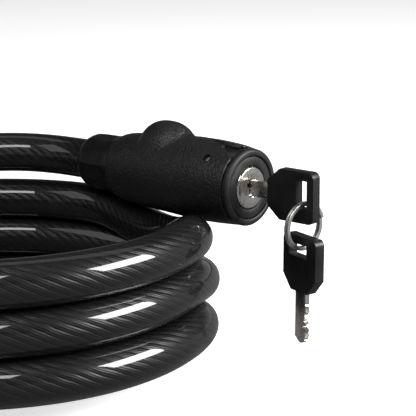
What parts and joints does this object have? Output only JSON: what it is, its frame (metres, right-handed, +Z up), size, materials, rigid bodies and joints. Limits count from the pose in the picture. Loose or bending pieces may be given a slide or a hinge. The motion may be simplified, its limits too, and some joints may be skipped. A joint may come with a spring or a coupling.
{
  "type": "cable luggage lock",
  "caption": "Key-operated cable lock: thick jacketed cable in a coil, tubular lock head with a hump, grooved end bolt, keys on a split ring.",
  "frame": {"origin": "on the coil's resting face, on the middle circle of its turns, on the side that the keys hang on", "axes": "+Z up from the resting face; -X to the coil's middle; the lock head points along +X and -Y"},
  "size_m": [0.2749, 0.1977, 0.0899],
  "materials": {
    "grained_shell": "fine leather grain, satin",
    "black_moulding": "smooth satin moulding",
    "key_plastic": "smooth semi-matt moulding",
    "cable_jacket": "glossy smoked PVC over wire rope",
    "nickel": "nickel plate, lightly brushed",
    "steel": "bright steel",
    "brass": "machined"
  },
  "bodies": {
    "head": {"outer_shell": "grained_shell", "barrel_housing": "black_moulding", "strain_relief_boot": "black_moulding", "cable_crimp": "steel", "anchor_pin": "steel", "face_ring": "black_moulding", "bezel": "black_moulding", "cylinder_case": "brass", "retaining_pin": "nickel", "bolt_port_collar": "steel", "bracket_catch": "black_moulding", "latch_spring": "steel", "cable_lead": "cable_jacket", "cable_coil": "cable_jacket", "cable_tail": "cable_jacket", "end_ferrule": "black_moulding", "locking_bolt": "steel"},
    "plug": {"cylinder_plug": "nickel", "wafer_1": "brass", "wafer_2": "brass", "wafer_3": "brass", "wafer_4": "brass", "wafer_5": "brass", "cam": "steel", "cam_screw": "nickel"},
    "latch": {"latch": "steel"},
    "key": {"key_blade": "nickel", "key_bow": "key_plastic"},
    "ring": {"key_ring": "steel"},
    "spare_key": {"spare_key_blade": "nickel", "spare_key_bow": "key_plastic"}
  },
  "joints": [
    {"name": "plug_turn", "type": "hinge", "parent": "head", "child": "plug", "pos_m": [0.02545, 0.01129, 0.06725], "axis": [0.7489, -0.6626, 0.0122], "range_deg": [0, 90]},
    {"name": "key_slide", "type": "slide", "parent": "plug", "child": "key", "axis": [0.7489, -0.6626, 0.0122], "range_m": [-0.006, 0.0125]},
    {"name": "latch_lift", "type": "slide", "parent": "head", "child": "latch", "axis": [-0.0092, 0.0081, 0.9999], "range_m": [0, 0.0022], "deforming": ["latch_spring"]},
    {"name": "ring_swing", "type": "hinge", "parent": "key", "child": "ring", "pos_m": [0.04609, -0.00698, 0.06489], "axis": [0.766, 0.6428, 0], "range_deg": [-50, 12]},
    {"name": "spare_key_swing", "type": "hinge", "parent": "ring", "child": "spare_key", "pos_m": [0.04609, -0.00698, 0.04639], "axis": [0.829, 0.5592, 0], "range_deg": [-25, 15]}
  ],
  "couplings": [
    {"joint": "latch_lift", "follows": "plug_turn", "m_per_rad": 0.0014006}
  ]
}
